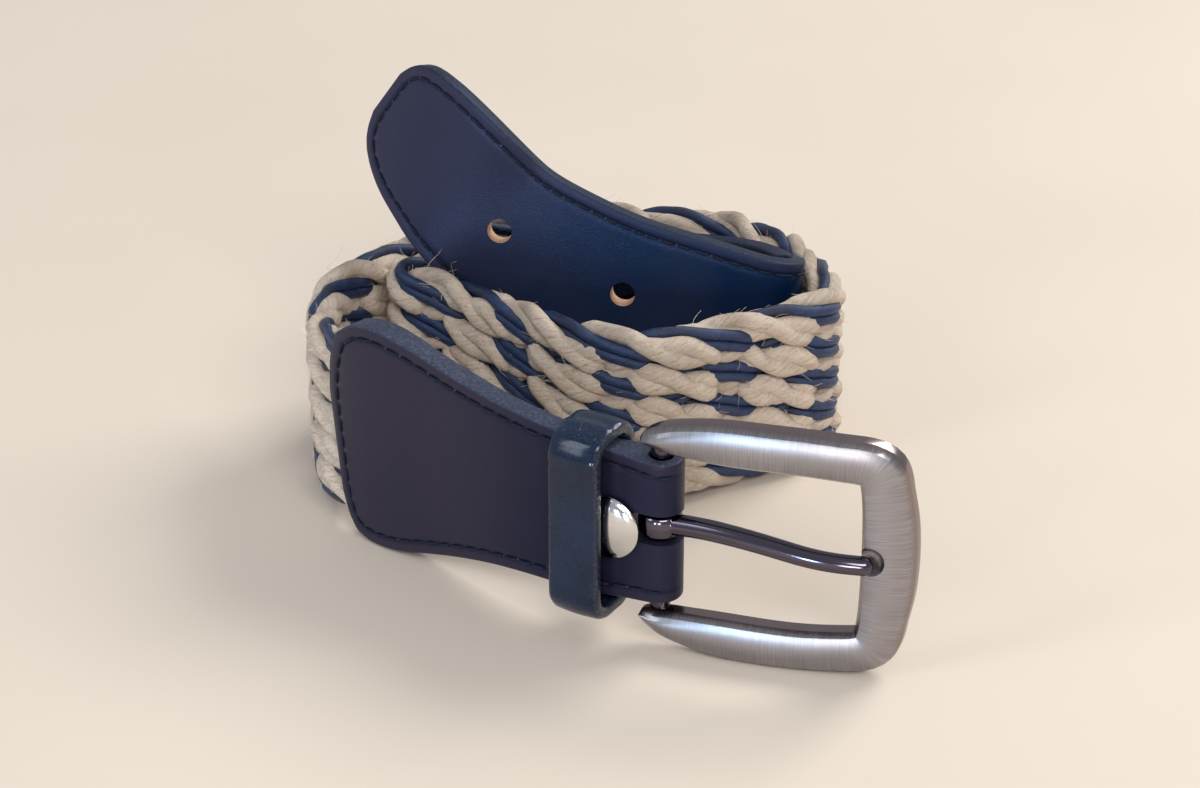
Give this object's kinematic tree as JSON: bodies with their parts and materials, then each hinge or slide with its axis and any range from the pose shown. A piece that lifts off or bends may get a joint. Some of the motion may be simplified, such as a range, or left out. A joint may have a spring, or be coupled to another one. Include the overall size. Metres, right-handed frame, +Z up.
{
  "type": "belt",
  "caption": "Braided jute and cord belt with leather ends, a curved frame buckle with a prong, a keeper loop and a snap, wound into a loose coil standing on its edge.",
  "frame": {"origin": "bottom middle of the bounding box, on the table the coil stands on", "axes": "+Z up across the strap's width, -Y towards the buckle and the keeper, +X along the front from the leather paddle to the buckle's end bar"},
  "size_m": [0.105, 0.1212, 0.0704],
  "materials": {
    "braid": "coarse jute twine and glossy navy cord, braided flat",
    "tab": "smooth navy leather, stitched, with painted edges",
    "keeper": "glossy navy leather with fine wrinkles",
    "snap_cap": "polished nickel plate",
    "tip_strap": "smooth navy leather, stitched, with painted edges and raw punched holes",
    "buckle_frame": "brushed nickel plate",
    "prong": "polished dark nickel plate"
  },
  "bodies": {
    "strap": {"braid": "braid", "tab": "tab", "keeper": "keeper", "snap_cap": "snap_cap", "tip_strap": "tip_strap"},
    "buckle": {"buckle_frame": "buckle_frame"},
    "prong": {"prong": "prong"}
  },
  "joints": [
    {"name": "buckle_on_fold", "type": "hinge", "parent": "strap", "child": "buckle", "pos_m": [0.01079, -0.04509, 0.0219], "axis": [0, 0, -1], "range_deg": [-60, 15]},
    {"name": "prong_on_bar", "type": "hinge", "parent": "buckle", "child": "prong", "pos_m": [0.01079, -0.04509, 0.0219], "axis": [0, 0, -1], "range_deg": [0, 50]}
  ]
}
